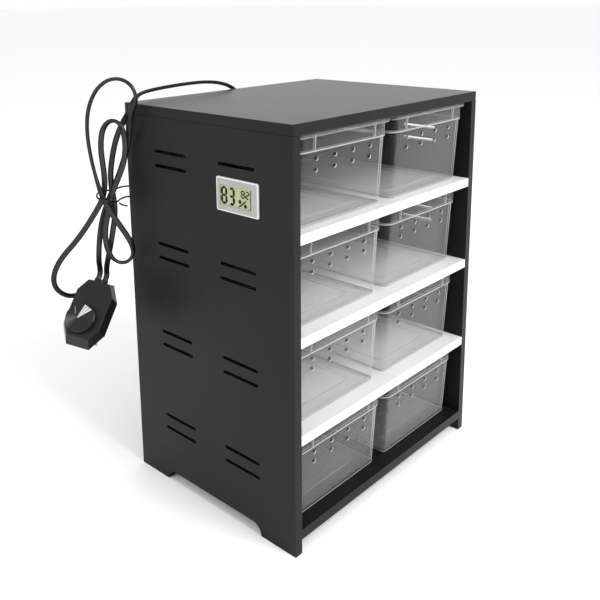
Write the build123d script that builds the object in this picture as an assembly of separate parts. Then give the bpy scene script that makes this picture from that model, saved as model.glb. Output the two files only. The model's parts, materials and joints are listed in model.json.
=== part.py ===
from build123d import *
import math
import os

# Stacked breeding cabinet: a black board cabinet with three white shelves, eight clear drawers,
# a humidity meter in the left side, a warming film at the back and a corded dimmer at the rear left corner.
# Millimetres. X to the right, Y to the back, Z up, origin under the middle of the cabinet.

# cabinet
width = 269.0
depth = 205.0
height = 363.0
side_board = 8.0
top_board = 9.0
base_board = 9.0
shelf_board = 8.5
back_board = 8.0
top_chamfer = 0.6
floor_gap = 13.0
row_count = 4
top_row_extra = 0.5
shelf_air_gap = 4.5
foot_length = 40.0
arch_height = 10.0
vent_length = 42.0
vent_width = 3.0
vent_y = 41.0
vent_end = 1.0
vent_levels = (33.5, 46.5)
base_vent_length = 20.0
base_vent_pitch_x = 36.5
base_vent_pitch_y = 20.0
base_vent_margin = 16.0

# drawers, measured from the underside of the drawer
drawer_side_gap = 2.0
drawer_middle_gap = 3.0
drawer_back_gap = 0.7
drawer_top_gap = 0.7
drawer_clearance = 0.3
drawer_wall = 1.5
drawer_draft = 3.4
band_height = 15.5
skirt_drop = 3.5
lip_sheet = 1.5
skirt_wall = 1.2
lip_step = 2.0
band_step = 1.2
lip_radius = 7.0
band_radius = 9.0
corner_steps = 2
gusset_x = 39.0
gusset_wall = 1.2
hole_radius = 1.5
hole_pitch = 23.3
hole_count = 4
hole_drops = (15.3, 6.0)
floor_panel_inset = 15.0
floor_panel_rise = 1.0
front_reveals = (4.4, 8.7, 8.8, 6.9)

# warming film at the back
film_sheet = 0.6
film_margin = 20.0
film_bottom = 60.0
terminal_size = (6.0, 1.6, 8.0)
terminal_spacing = 12.0
terminal_cover_size = (30.0, 4.0, 20.0)
terminal_cover_wall = 1.0
core_radius = 0.6
gland_x = 62.0
gland_z = 45.0
gland_radius = 6.0
gland_flange_radius = 8.0
gland_flange = 1.5
gland_snout = 2.0

# meter in the left side
meter_width = 48.0
meter_height = 28.6
meter_y = -43.1
meter_above_floor = 21.9
meter_bezel = 1.5
meter_flange = 1.2
meter_body_depth = 11.5
meter_wall = 1.2
meter_fit = 0.1
window_width = 34.0
window_height = 19.5
window_sheet = 1.0
lcd_margin = 1.5
lcd_sheet = 1.6
meter_board_sheet = 1.0
meter_board_gap = 1.8
cell_radius = 5.8
cell_height = 5.4
meter_cover_sheet = 1.0

# dimmer, in its own frame: X across, Y towards the cord end, Z out of the dial face
dimmer_azimuth = 48.0
dimmer_elevation = 39.0
dimmer_roll = 16.0
dimmer_width = 41.0
dimmer_length = 63.4
dimmer_corner_x = 9.3
dimmer_corner_y = 16.0
dimmer_corner_shrink = 0.3
dimmer_front = 11.0
dimmer_back = 9.0
dimmer_wall = 1.8
dimmer_side_taper = 3.3
dimmer_top_taper = 3.5
dimmer_bottom_taper = 7.0
dimmer_back_taper = 4.0
mouth_radius = 3.2
mouth_fit = 0.05
mouth_reach = 3.0
mouth_level = -3.6
mouth_xs = (-7.2, -0.4)
dial_x = -2.8
dial_y = -8.3
dial_radius = 13.6
dial_height = 8.0
dial_rim = 4.5
dial_gap = 0.6
dial_wall = 1.6
dial_sides = 28
pointer_angle = 68  # where the pointer stands on the dial, from the X axis
pointer_halves = (0.5, 4.1)  # half its width near the middle and near the rim
pointer_lift = 0.3
hub_wall = 2.0
shaft_radius = 3.0
shaft_fit = 0.05
pot_size = 16.0
pot_height = 6.0
bushing_radius = 4.0
board_side_gap = 7.5
board_sheet = 1.2
screw_inset = 10.7
screw_radius = 1.2
screw_head_radius = 2.3
screw_head = 1.6
boss_radius = 3.4

# cord, tie and plug
cord_radius = 2.6
cord_sides = 6
tie_radius = 0.8
thin_sides = 6
plug_axis = (0.38, -0.925, 0.0)
plug_relief_length = 6.0
plug_body_length = 20.0
plug_body_width = 20.0
plug_body_thick = 14.0
pin_length = 15.0
pin_width = 6.0
pin_thick = 1.5
pin_spacing = 12.0

os.makedirs("parts", exist_ok=True)

at_low = (Align.CENTER, Align.CENTER, Align.MIN)
at_high = (Align.CENTER, Align.CENTER, Align.MAX)
left_x = -width / 2
inner_width = width - 2 * side_board
back_y = depth / 2
back_inner_y = back_y - back_board
front_y = -depth / 2
side_height = height - top_board
base_top = floor_gap + base_board
row_pitch = (side_height - base_top + shelf_board - top_row_extra) / row_count
row_floors = [base_top + row_pitch * (row_count - 1 - row) for row in range(row_count)]
shelf_back_y = back_inner_y - shelf_air_gap
drawer_width = (inner_width - 2 * drawer_side_gap - drawer_middle_gap) / 2
drawer_length = shelf_back_y - front_y - max(front_reveals) - drawer_back_gap
drawer_height = row_pitch - shelf_board - drawer_clearance - drawer_top_gap
ledge_level = drawer_height - band_height


def save(name, *solids):
    shape = solids[0] if len(solids) == 1 else Compound(children=list(solids))
    shape.label = name
    export_step(shape, f"parts/{name}.step")


def block(x, y, z):
    """Box between the limits of three (low, high) pairs."""
    size = (x[1] - x[0], y[1] - y[0], z[1] - z[0])
    return Pos(x[0], y[0], z[0]) * Box(*size, align=Align.MIN)


def beside(out, front, up):
    """Point near the rear left corner post: out to the photographed left, towards the viewer, up."""
    return Vector(left_x - 0.814 * out - 0.581 * front, back_y + 0.581 * out - 0.814 * front, up)


def outline(across, along, radius, steps, level=0.0):
    """Points of a rectangle whose rounded corners are drawn as short straight runs."""
    points = []
    for corner, (x, y) in enumerate(((1, 1), (-1, 1), (-1, -1), (1, -1))):
        for step in range(steps + 1):
            angle = math.radians(90 * (corner + step / steps))
            points.append(Vector(x * (across / 2 - radius) + radius * math.cos(angle),
                                 y * (along / 2 - radius) + radius * math.sin(angle), level))
    return points


def flat_face(points):
    return make_face(Polyline(*points, close=True))


def frustum(low, high):
    """Solid between two outlines with parallel edges, all its walls flat."""
    sides = range(len(low))
    walls = [flat_face([low[i - 1], low[i], high[i], high[i - 1]]) for i in sides]
    return Solid(Shell([flat_face(low), flat_face(high), *walls]))


# cabinet boards
meter_z = row_floors[0] + meter_above_floor


def side_panel(is_left):
    vent = flat_face(outline(vent_length, vent_width, vent_end, 1))
    face = Pos(0, side_height / 2) * Rectangle(depth, side_height)
    face -= SlotOverall(depth - 2 * foot_length, 2 * arch_height)
    meter_reach = (meter_height + vent_width) / 2
    for row_floor in row_floors:
        for level in vent_levels:
            for y in (-vent_y, vent_y):
                if is_left and y < 0 and abs(row_floor + level - meter_z) < meter_reach:
                    continue
                face -= Pos(y, row_floor + level) * vent
    if is_left:
        body = (meter_width - 2 * meter_flange, meter_height - 2 * meter_flange)
        face -= Pos(meter_y, meter_z) * Rectangle(body[0] + 2 * meter_fit, body[1] + 2 * meter_fit)
    start = left_x if is_left else width / 2 - side_board
    return extrude(Plane.YZ.offset(start) * face, side_board)


save("side_panel_left", side_panel(True))
save("side_panel_right", side_panel(False))

top_panel = block((left_x, width / 2), (front_y, back_y), (side_height, height))
top_panel = chamfer(top_panel.faces().sort_by(Axis.Z)[-1].edges(), top_chamfer)
save("top_panel", top_panel)

inner_x = (-inner_width / 2, inner_width / 2)
back_panel = block(inner_x, (back_inner_y, back_y), (floor_gap, side_height))
gland_place = Pos(gland_x, back_y, gland_z) * Rot(-90, 0, 0)
back_panel -= gland_place * Cylinder(gland_radius, 3 * back_board)
save("back_panel", back_panel)


def base_vents():
    """Staggered rows of slots, centred between the side panels."""
    vents = []
    rows = int((back_inner_y - front_y - 2 * base_vent_margin) / base_vent_pitch_y)
    reach = inner_width / 2 - base_vent_margin
    for row in range(rows + 1):
        y = (front_y + back_inner_y) / 2 + (row - rows / 2) * base_vent_pitch_y
        shift = base_vent_pitch_x / 2 * (row % 2)
        for column in range(-8, 9):
            x = column * base_vent_pitch_x + shift
            if abs(x) < reach:
                vents.append(Pos(x, y) * Rectangle(base_vent_length, vent_width))
    return vents


base_face = Pos(0, (front_y + back_inner_y) / 2) * Rectangle(inner_width, back_inner_y - front_y)
for vent in base_vents():
    base_face -= vent
save("base_panel", extrude(Plane.XY.offset(floor_gap) * base_face, base_board))

for number, row_floor in enumerate(row_floors[:-1], start=1):
    shelf = block(inner_x, (front_y, shelf_back_y), (row_floor - shelf_board, row_floor))
    save(f"shelf_{number}", shelf)

# drawers
band_width = drawer_width - 2 * lip_step
band_length = drawer_length - 2 * lip_step
body_width = band_width - 2 * band_step
body_length = band_length - 2 * band_step
lip_level = drawer_height - skirt_drop


def tub(across, along, radius, low, high):
    """Block that narrows downwards from a rounded outline."""
    drop = (high - low) * math.tan(math.radians(drawer_draft))
    foot = outline(across - 2 * drop, along - 2 * drop, radius - drop, corner_steps, low)
    return frustum(foot, outline(across, along, radius, corner_steps, high))


def ring(across, along, radius, low, high):
    return extrude(flat_face(outline(across, along, radius, corner_steps, low)), high - low)


def drawer():
    """Drawer centred on the origin, standing on Z = 0, front towards -Y."""
    wall = drawer_wall
    shell = tub(body_width, body_length, band_radius - band_step, 0, ledge_level)
    shell += ring(band_width, band_length, band_radius, ledge_level, drawer_height)
    shell += ring(drawer_width, drawer_length, lip_radius, drawer_height - lip_sheet, drawer_height)
    skirt = ring(drawer_width, drawer_length, lip_radius, lip_level, drawer_height - lip_sheet)
    inner_lip = (drawer_width - 2 * skirt_wall, drawer_length - 2 * skirt_wall, lip_radius - skirt_wall)
    shell += skirt - ring(*inner_lip, lip_level, drawer_height - lip_sheet)
    for side in (-1, 1):
        for x in (-gusset_x, gusset_x):
            inner, outer = body_length / 2 - wall / 2, drawer_length / 2 - skirt_wall / 2
            rib = block((-gusset_wall / 2, gusset_wall / 2), (inner, outer),
                        (ledge_level - 1, drawer_height - 1))
            shell += Pos(x, 0, 0) * (rib if side > 0 else mirror(rib, Plane.XZ))
    inner_step = ledge_level + wall
    mouth = (band_width - 2 * wall, band_length - 2 * wall, band_radius - wall)
    inside = ring(*mouth, inner_step, drawer_height)
    well = (body_width - 2 * wall, body_length - 2 * wall, band_radius - band_step - wall)
    inside += tub(*well, wall, inner_step)
    shell -= inside
    floor_drop = 2 * ledge_level * math.tan(math.radians(drawer_draft)) + 2 * floor_panel_inset
    panel = (body_width - floor_drop, body_length - floor_drop, 6.0)
    shell += ring(*panel, wall, wall + floor_panel_rise)
    shell -= ring(panel[0] - 2 * wall, panel[1] - 2 * wall, panel[2] - wall, 0, floor_panel_rise)
    hole = extrude(Plane.XZ * RegularPolygon(hole_radius, thin_sides), 6, both=True)
    for drop in hole_drops:
        for index in range(hole_count):
            x = (index - (hole_count - 1) / 2) * hole_pitch
            shell -= Pos(x, -body_length / 2, ledge_level - drop) * hole
    return shell


column_x = (drawer_width + drawer_middle_gap) / 2
drawer_shape = drawer()
drawer_fronts = []
for row, row_floor in enumerate(row_floors):
    y = front_y + front_reveals[row] + drawer_length / 2
    drawer_fronts.append(y - drawer_length / 2)
    for name, x in (("left", -column_x), ("right", column_x)):
        placed = Pos(x, y, row_floor + drawer_clearance) * drawer_shape
        save(f"drawer_{row + 1}_{name}", placed)

# warming film, its terminals and the cord's way out
film_y = back_inner_y - film_sheet
film_x = inner_width / 2 - film_margin
film_top = side_height - film_margin
save("heating_film", block((-film_x, film_x), (film_y, back_inner_y), (film_bottom, film_top)))

terminal_xs = (gland_x - terminal_spacing / 2, gland_x + terminal_spacing / 2)


def terminal(x):
    half = terminal_size[0] / 2
    return block((x - half, x + half), (film_y - terminal_size[1], film_y),
                 (film_bottom + 1, film_bottom + 1 + terminal_size[2]))


save("film_terminals", *[terminal(x) for x in terminal_xs])

cover_x = (gland_x - terminal_cover_size[0] / 2, gland_x + terminal_cover_size[0] / 2)
cover_z = (film_bottom - 1, film_bottom - 1 + terminal_cover_size[2])
cover_wall = terminal_cover_wall
terminal_cover = block(cover_x, (film_y - terminal_cover_size[1], film_y), cover_z)
terminal_cover = chamfer(terminal_cover.faces().sort_by(Axis.Y)[0].edges(), 0.8)
terminal_cover -= block((cover_x[0] + cover_wall, cover_x[1] - cover_wall),
                        (film_y - terminal_cover_size[1] + cover_wall, film_y),
                        (cover_z[0] - 1, cover_z[1] - cover_wall))
save("terminal_cover", terminal_cover)

gland = gland_place * Cylinder(gland_radius, back_board, align=at_high)
gland += gland_place * Cylinder(gland_flange_radius, gland_flange, align=at_low)
inner_flange = Cylinder(gland_flange_radius, gland_flange, align=at_high)
gland += gland_place * Pos(0, 0, -back_board) * inner_flange
snout = Cone(gland_radius, cord_radius + 1, gland_snout, align=at_low)
gland += gland_place * Pos(0, 0, gland_flange) * snout
save("cable_gland", gland)
gland_mouth = Vector(gland_x, back_y + gland_flange + gland_snout, gland_z)


def corner_radii(points):
    """Largest arc that each corner's two runs allow."""
    radii = []
    for before, corner, after in zip(points, points[1:], points[2:]):
        run_in = corner - before
        run_out = after - corner
        half_turn = math.radians(run_in.get_angle(run_out)) / 2
        radii.append(0.45 * min(run_in.length, run_out.length) / math.tan(half_turn))
    return radii


def tube(points, radius, sides, label=None):
    """Tube with a many-sided section along straight runs joined by tangent arcs."""
    radii = corner_radii(points)
    path = FilletPolyline(*points, radius=radii)
    section = Plane(origin=path @ 0, z_dir=path % 0) * RegularPolygon(radius, sides)
    solid = sweep(section, path=path)
    if label:
        share = solid.volume / (section.area * path.length)
        print(f"{label}: length {path.length:.0f}, volume over section times length {share:.4f}")
        print("  radii " + " ".join(f"{value:.0f}" for value in radii))
    return solid, path


inner_flange_y = back_inner_y - gland_flange
cores = []
for core_x, terminal_x in zip((gland_x - 1.2, gland_x + 1.2), terminal_xs):
    core_route = [Vector(core_x, inner_flange_y, gland_z),
                  Vector(core_x, inner_flange_y - 1.3, gland_z + 1.6),
                  Vector((core_x + terminal_x) / 2, inner_flange_y - 1.2, film_bottom - 6),
                  Vector(terminal_x, film_y - terminal_size[1] / 2, film_bottom + 1)]
    cores.append(tube(core_route, core_radius, thin_sides)[0])
save("heater_cores", *cores)

# meter
meter_plane = Plane(origin=(left_x, meter_y, meter_z), x_dir=(0, -1, 0), z_dir=(-1, 0, 0))
body_w = meter_width - 2 * meter_flange
body_h = meter_height - 2 * meter_flange
case = Pos(0, 0, meter_bezel / 2) * Box(meter_width, meter_height, meter_bezel)
case = chamfer(case.faces().sort_by(Axis.Z)[-1].edges(), 0.6)
case += Pos(0, 0, -meter_body_depth / 2) * Box(body_w, body_h, meter_body_depth)
window_bed = meter_bezel - 0.3
cavity_depth = meter_body_depth + window_bed - window_sheet
case -= Pos(0, 0, (window_bed - window_sheet - meter_body_depth) / 2) * Box(
    body_w - 2 * meter_wall, body_h - 2 * meter_wall, cavity_depth)
case -= Pos(0, 0, meter_bezel) * Box(window_width, window_height, 4)
save("meter_case", meter_plane * case)

pane = Pos(0, 0, window_bed - window_sheet / 2) * Box(window_width, window_height, window_sheet)
save("meter_window", meter_plane * pane)

lcd_front = window_bed - window_sheet - 0.1
lcd_size = (window_width + 2 * lcd_margin, window_height + 2 * lcd_margin)
lcd = Pos(0, 0, lcd_front - lcd_sheet / 2) * Box(*lcd_size, lcd_sheet)
save("lcd_glass", meter_plane * lcd)

board_front = lcd_front - lcd_sheet - meter_board_gap
strips = [Pos(0, side * (lcd_size[1] / 2 - 1.2), board_front + meter_board_gap / 2)
          * Box(lcd_size[0] - 2, 2, meter_board_gap) for side in (-1, 1)]
save("lcd_contact_strips", *[meter_plane * strip for strip in strips])

circuit = Pos(0, 0, board_front - meter_board_sheet / 2) * Box(
    body_w - 2 * meter_wall - 0.4, body_h - 2 * meter_wall - 0.4, meter_board_sheet)
save("meter_board", meter_plane * circuit)

cell_top = board_front - meter_board_sheet - 0.2
cells = [Pos(side * (cell_radius + 0.6), 0, cell_top - cell_height / 2)
         * Cylinder(cell_radius, cell_height) for side in (-1, 1)]
save("button_cells", *[meter_plane * cell for cell in cells])

meter_cover = Box(body_w, body_h, meter_cover_sheet, align=at_high)
meter_cover = Pos(0, 0, -meter_body_depth) * meter_cover
save("meter_back_cover", meter_plane * meter_cover)

# dimmer frame
azimuth, elevation, roll = (math.radians(a) for a in (dimmer_azimuth, dimmer_elevation, dimmer_roll))
face_normal = Vector(-math.sin(azimuth) * math.cos(elevation), -math.cos(azimuth) * math.cos(elevation),
                     math.sin(elevation))
face_up = (Vector(0, 0, 1) - face_normal * face_normal.Z).normalized()
face_right = face_up.cross(face_normal)
face_up = face_up * math.cos(roll) + face_right * math.sin(roll)
dimmer_plane = Plane(origin=beside(41, 18, 169.6), x_dir=face_up.cross(face_normal), z_dir=face_normal)


def octagon(top, bottom, side, corner_x, corner_y, level):
    """Points of a long octagon from its reach up, down and to each side."""
    right = [(side - corner_x, top), (side, top - corner_y),
             (side, corner_y - bottom), (side - corner_x, -bottom)]
    left = [(-x, y) for x, y in reversed(right)]
    return [Vector(x, y, level) for x, y in right + left]


def dimmer_section(level, inset):
    """Case outline at a level, widest at the seam, moved in by the wall."""
    front_share = max(level, 0) / dimmer_front
    back_share = max(-level, 0) / dimmer_back
    drawn_in = dimmer_back_taper * back_share + inset
    top = dimmer_length / 2 - dimmer_top_taper * front_share - drawn_in
    bottom = dimmer_length / 2 - dimmer_bottom_taper * front_share - drawn_in
    side = dimmer_width / 2 - dimmer_side_taper * front_share - drawn_in
    shrink = 1 - dimmer_corner_shrink * front_share
    return octagon(top, bottom, side, dimmer_corner_x * shrink, dimmer_corner_y * shrink, level)


def half_case(level):
    outer = frustum(dimmer_section(0, 0), dimmer_section(level, 0))
    floor_level = level - math.copysign(dimmer_wall, level)
    return outer, outer - frustum(dimmer_section(0, dimmer_wall), dimmer_section(floor_level, dimmer_wall))


mouth_y = dimmer_length / 2
front_outer, front_shell = half_case(dimmer_front)
back_outer, back_shell = half_case(-dimmer_back)
board_back = -4.0
board_face = board_back + board_sheet
screw_y = dimmer_length / 2 - screw_inset
for y in (-screw_y, screw_y):
    boss = Pos(0, y, board_face) * Cylinder(boss_radius, dimmer_front - 1 - board_face, align=at_low)
    front_shell += boss & (front_outer + back_outer)
    front_shell -= Pos(0, y, 0) * Cylinder(screw_radius, 2 * (dimmer_front - 3))
    foot_low = 1 - dimmer_back
    back_shell += Pos(0, y, foot_low) * Cylinder(boss_radius, board_back - foot_low, align=at_low)
    back_shell -= Pos(0, y, -dimmer_back) * Cylinder(screw_radius + 0.2, dimmer_back, align=at_low)
    back_shell -= Pos(0, y, -dimmer_back) * Cylinder(screw_head_radius + 0.2, screw_head, align=at_low)
dial_place = Pos(dial_x, dial_y, 0)
front_shell -= dial_place * Cylinder(bushing_radius + 0.2, 4 * dimmer_front)
for x in mouth_xs:
    back_shell -= Pos(x, mouth_y, mouth_level) * Rot(90, 0, 0) * Cylinder(mouth_radius + mouth_fit, 12)
stub = Pos(-2, -dimmer_length / 2 + 1.5, -2.6) * Rot(90, 0, 0) * Cylinder(2.4, 5)
back_shell += stub - back_outer
save("dimmer_front_shell", dimmer_plane * front_shell)
save("dimmer_back_shell", dimmer_plane * back_shell)

bushings = []
for x in mouth_xs:
    collar = Cylinder(mouth_radius, mouth_reach + 4, align=at_high)
    bushings.append(dimmer_plane * Pos(x, mouth_y + mouth_reach, mouth_level) * Rot(-90, 0, 0) * collar)
save("dimmer_bushings", *bushings)

board_reach = screw_y + boss_radius - 0.6
board_side = dimmer_width / 2 - board_side_gap
board_points = octagon(board_reach, board_reach, board_side, board_side / 2, dimmer_corner_y * 0.7, board_back)
circuit = extrude(flat_face(board_points), board_sheet)
for y in (-screw_y, screw_y):
    circuit -= Pos(0, y, board_back) * Cylinder(screw_radius + 0.2, 4 * board_sheet)
save("dimmer_board", dimmer_plane * circuit)

bushing_top = dimmer_front + dial_gap / 2
pot = dial_place * Pos(0, 0, board_face + pot_height / 2) * Box(pot_size, pot_size, pot_height)
pot_neck = Cylinder(bushing_radius, bushing_top - board_face, align=at_low)
pot += dial_place * Pos(0, 0, board_face) * pot_neck
shaft_foot = board_face + 1.5
shaft_bore = Cylinder(shaft_radius + shaft_fit, 20 + pot_height, align=at_low)
pot -= dial_place * Pos(0, 0, shaft_foot) * shaft_bore
save("dimmer_pot", dimmer_plane * pot)

dial_base = dimmer_front + dial_gap
shaft_top = dial_base + dial_height - 2
shaft_low = shaft_foot + 0.3
shaft = Cylinder(shaft_radius, shaft_top - shaft_low, align=at_low)
save("dimmer_shaft", dimmer_plane * dial_place * Pos(0, 0, shaft_low) * shaft)

# dial: a low cone on a short skirt, hollow below, with a hub on the shaft and a raised pointer
def dial_outline(radius, level):
    return [Vector(radius, 0, level).rotate(Axis.Z, 360 * side / dial_sides) for side in range(dial_sides)]


skirt_top = dial_rim - 0.4
dial = frustum(dial_outline(dial_radius, 0), dial_outline(dial_radius, skirt_top))
dial += frustum(dial_outline(dial_radius, skirt_top), dial_outline(dial_radius - 1, dial_rim + 0.6))
dial += frustum(dial_outline(dial_radius - 1, dial_rim + 0.6), dial_outline(1, dial_height))
hollow = dial_radius - dial_wall
dial -= frustum(dial_outline(hollow, 0), dial_outline(hollow, dial_rim - 1.4))
dial += Pos(0, 0, 0.4) * Cylinder(shaft_radius + hub_wall, dial_rim - 0.8, align=at_low)
pointer_reach = dial_radius - 1.8
near_half, far_half = pointer_halves
pointer = flat_face([Vector(1.6, -near_half), Vector(pointer_reach, -far_half),
                     Vector(pointer_reach, far_half), Vector(1.6, near_half)])
dial_lean = (dial_height - dial_rim - 0.6) / (dial_radius - 2)
pointer_skin = frustum(dial_outline(dial_radius + 1, dial_rim + 0.6 - 2 * dial_lean + pointer_lift),
                       dial_outline(1, dial_height + pointer_lift))
dial += Rot(0, 0, pointer_angle) * extrude(pointer, 2 * dial_height) & pointer_skin
dial -= Cylinder(shaft_radius, dial_height - 2, align=at_low)
save("dimmer_dial", dimmer_plane * dial_place * Pos(0, 0, dial_base) * dial)

screws = []
for y in (-screw_y, screw_y):
    head = Pos(0, y, screw_head - dimmer_back) * Cylinder(screw_head_radius, screw_head, align=at_high)
    shank = Pos(0, y, screw_head - dimmer_back) * Cylinder(screw_radius, dimmer_back + 3, align=at_low)
    screws.append(dimmer_plane * (head + shank))
save("dimmer_screws", *screws)


# cord: from the gland over the top to the dimmer, then the hank and on to the plug
def mouth_points(x):
    """Face of a dimmer bushing, and a point straight out from it."""
    return [dimmer_plane.from_local_coords(Vector(x, mouth_y + mouth_reach + step, mouth_level))
            for step in (0, 5)]


feed_route = [
    gland_mouth, Vector(62, 112, 45), Vector(61.8, 118, 46.8), Vector(61.5, 123.4, 51),
    Vector(61, 127.3, 57.2), Vector(60.4, 129, 66.5), Vector(59, 128.5, 80), Vector(56, 126, 104),
    Vector(51.4, 121.2, 148), Vector(45.5, 114, 200), Vector(40, 110, 252), Vector(34.5, 108, 298),
    Vector(29, 107.5, 328), Vector(22.5, 107, 345), Vector(13, 107, 357.5), Vector(1, 107, 366),
    Vector(-15, 107, 370.8), Vector(-34, 107, 373), Vector(-58, 107, 373), Vector(-82, 106, 372.2),
    Vector(-101, 103, 371.4), Vector(-115, 98, 370.8), Vector(-125.5, 92.2, 370),
    Vector(-132.8, 88, 368), Vector(-137.8, 85.6, 364), Vector(-140.6, 86.2, 358.5),
    Vector(-141, 90.8, 352.6), Vector(-140.3, 98, 346), beside(6.3, 2.6, 337.5),
    beside(10.5, 1.6, 326), beside(13.7, 1.8, 312.5), beside(15.9, 3.6, 299), beside(15.8, 5.3, 286),
    beside(13.8, 5.4, 273), beside(13.8, 5.6, 260), beside(16.4, 5.6, 246), beside(19.2, 3.8, 232),
    beside(21.8, 0.6, 220), beside(24.2, -3.4, 209.5), beside(25, -5.9, 202.5),
    *reversed(mouth_points(mouth_xs[1]))
]

hank_route = [
    *mouth_points(mouth_xs[0]), beside(31, -8.4, 204.5), beside(31.5, -5.8, 212),
    beside(30.9, -3, 221.5), beside(29.8, -1.4, 232.5), beside(28, -0.5, 245), beside(24.8, -0.6, 258),
    beside(20.4, -0.8, 270), beside(15.3, -0.7, 281), beside(10.8, 0.6, 291), beside(5.3, 3.9, 305),
    beside(0.8, 6.8, 319), Vector(-139.5, 91.9, 332), Vector(-142.2, 85.7, 344.5),
    Vector(-143.8, 79.5, 356), beside(-10, 27.5, 366.5), beside(-9.6, 28.4, 375),
    beside(-5.6, 26, 382), beside(1.5, 21, 386), beside(10, 15.5, 386), beside(18, 11.8, 382),
    beside(25.4, 9.6, 374.2), beside(31.8, 8.2, 360), beside(34.2, 8, 342), beside(33, 9.2, 322),
    beside(29.8, 12, 303), beside(26.6, 15.5, 289), beside(22.7, 16.9, 277), beside(17, 17.3, 265),
    beside(9.5, 17.2, 252), beside(2.5, 16, 239.5), beside(-0.9, 14, 229.6), beside(-0.4, 12.6, 221.6),
    beside(4, 11.4, 215.8), beside(10.6, 11, 214.6), beside(16.4, 11, 217.6),
    beside(20.6, 11.1, 223.6), beside(23, 11.3, 232), beside(23.8, 11.4, 242), beside(22.5, 11.4, 253),
    beside(19.5, 11.3, 265), beside(17.4, 11.2, 275), beside(14, 11.6, 285), beside(9, 12.8, 296),
    beside(4, 14.8, 308.5), beside(1.4, 17.2, 321), beside(1.2, 18.7, 332), beside(2.6, 18.2, 341),
    beside(6, 16.2, 347.4), beside(11.6, 14.2, 349.2), beside(16.8, 12.8, 346.4),
    beside(20.6, 11.8, 340), beside(22.4, 10.8, 331), beside(22.9, 9.9, 320.5), beside(22, 8.9, 308.5),
    beside(21.2, 7.6, 296), beside(21.8, 6.3, 285), beside(24.8, 6, 274), beside(32.5, 6, 261.5),
    beside(42, 6, 247.5), beside(52, 6, 235), beside(61.8, 6, 224.8), beside(69, 6, 214.4),
    beside(72.7, 5.4, 204), beside(72.3, 3.8, 194.4), beside(68, 1, 186.6), beside(61.3, -4, 180.9),
    beside(57.2, -9.6, 178.7), beside(51.4, -13.8, 177.3), beside(45.5, -15, 176.4)
]

plug_start = dimmer_plane.from_local_coords(Vector(-11.3, 13.2, -20))
plug_direction = (dimmer_plane.x_dir * plug_axis[0] + face_up * plug_axis[1]).normalized()
hank_route += [plug_start - plug_direction * 5.5, plug_start]


def least_gap(path, radius, own_reach):
    """Least gap between strands of one cord, on points further apart along it than own_reach."""
    count = int(path.length / 2)
    points = [path @ (index / count) for index in range(count + 1)]
    step = path.length / count
    skip = int(own_reach / step)
    return min((a - b).length for i, a in enumerate(points) for b in points[i + skip:]) - 2 * radius


feed_solid, feed_path = tube(feed_route, cord_radius, cord_sides, "cord_feed")
hank_solid, hank_path = tube(hank_route, cord_radius, cord_sides, "cord_hank")
save("cord_feed", feed_solid)
save("cord_hank", hank_solid)
print(f"least gap of the hank to itself {least_gap(hank_path, cord_radius, 20):.2f}")

tie_route = [
    Vector(-120, back_y + tie_radius + 0.3, 284), Vector(-132, back_y + tie_radius + 0.6, 284.1),
    beside(1.5, -3.4, 284.3), beside(6, -2.6, 284.3), beside(11, -4.4, 282.4),
    beside(17.5, -5.4, 280.8), beside(24.6, -2.8, 280.9), beside(28.6, 3.5, 280.6),
    beside(29.2, 12, 280.2), beside(27.4, 19.8, 279.2), beside(20.4, 22.2, 277.4),
    beside(13.8, 18.4, 275.2), beside(10.4, 11.5, 274), beside(9, 4, 273.8), beside(5.6, -1.6, 274),
    beside(1.2, -4.4, 274.1), Vector(-131.5, back_y + tie_radius + 0.8, 274),
    Vector(-120, back_y + tie_radius + 0.3, 273.8)
]
tie_tail_route = [
    beside(9.6, 9.4, 272), beside(8, 9.6, 270.6), beside(5.4, 9.4, 269.2), beside(2.2, 8.8, 268.4)
]
tie_loop = tube(tie_route, tie_radius, thin_sides, "cord_tie")[0]
tie_tail = tube(tie_tail_route, tie_radius, thin_sides)[0]
save("cord_tie", tie_loop, tie_tail)

# plug, lying behind the dimmer
plug_plane = Plane(origin=plug_start, x_dir=plug_direction.cross(face_normal), z_dir=plug_direction)
relief = Cone(cord_radius + 0.6, cord_radius + 2.4, plug_relief_length, align=at_low)
save("plug_relief", plug_plane * relief)
plug_body = Box(plug_body_width, plug_body_thick, plug_body_length, align=at_low)
plug_body = fillet(plug_body.edges().filter_by(Axis.Z), 4)
plug_body = chamfer(plug_body.faces().sort_by(Axis.Z)[0].edges(), 2)
save("plug_body", plug_plane * Pos(0, 0, plug_relief_length) * plug_body)
pins = [plug_plane * Pos(side * pin_spacing / 2, 0, plug_relief_length + plug_body_length)
        * Box(pin_thick, pin_width, pin_length, align=at_low) for side in (-1, 1)]
save("plug_pins", *pins)

print("row floors", row_floors)
print("drawer fronts", drawer_fronts)
print("mouths", [tuple(round(value, 2) for value in mouth_points(x)[0]) for x in mouth_xs])
print("plug start", plug_start, "plug direction", plug_direction)
dial_point = dimmer_plane.from_local_coords(Vector(dial_x, dial_y, dimmer_front))
print("dial axis through", dial_point, "along", face_normal)
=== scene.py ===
import json
import math

import bmesh
import bpy
from mathutils import Matrix, Vector


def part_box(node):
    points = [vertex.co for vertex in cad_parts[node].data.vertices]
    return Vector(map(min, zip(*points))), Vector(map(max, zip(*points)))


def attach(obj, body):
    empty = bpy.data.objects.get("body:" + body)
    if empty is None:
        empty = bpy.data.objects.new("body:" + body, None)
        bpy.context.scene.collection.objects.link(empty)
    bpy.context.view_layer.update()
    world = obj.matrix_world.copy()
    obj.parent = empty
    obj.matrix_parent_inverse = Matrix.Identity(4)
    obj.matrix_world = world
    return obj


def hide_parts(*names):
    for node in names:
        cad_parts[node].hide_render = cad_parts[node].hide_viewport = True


# The looks of a black board cabinet with eight clear drawers, a small meter and a corded dimmer.
# Everything is worked out in millimetres of the CAD frame and handed to Blender in metres.

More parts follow.
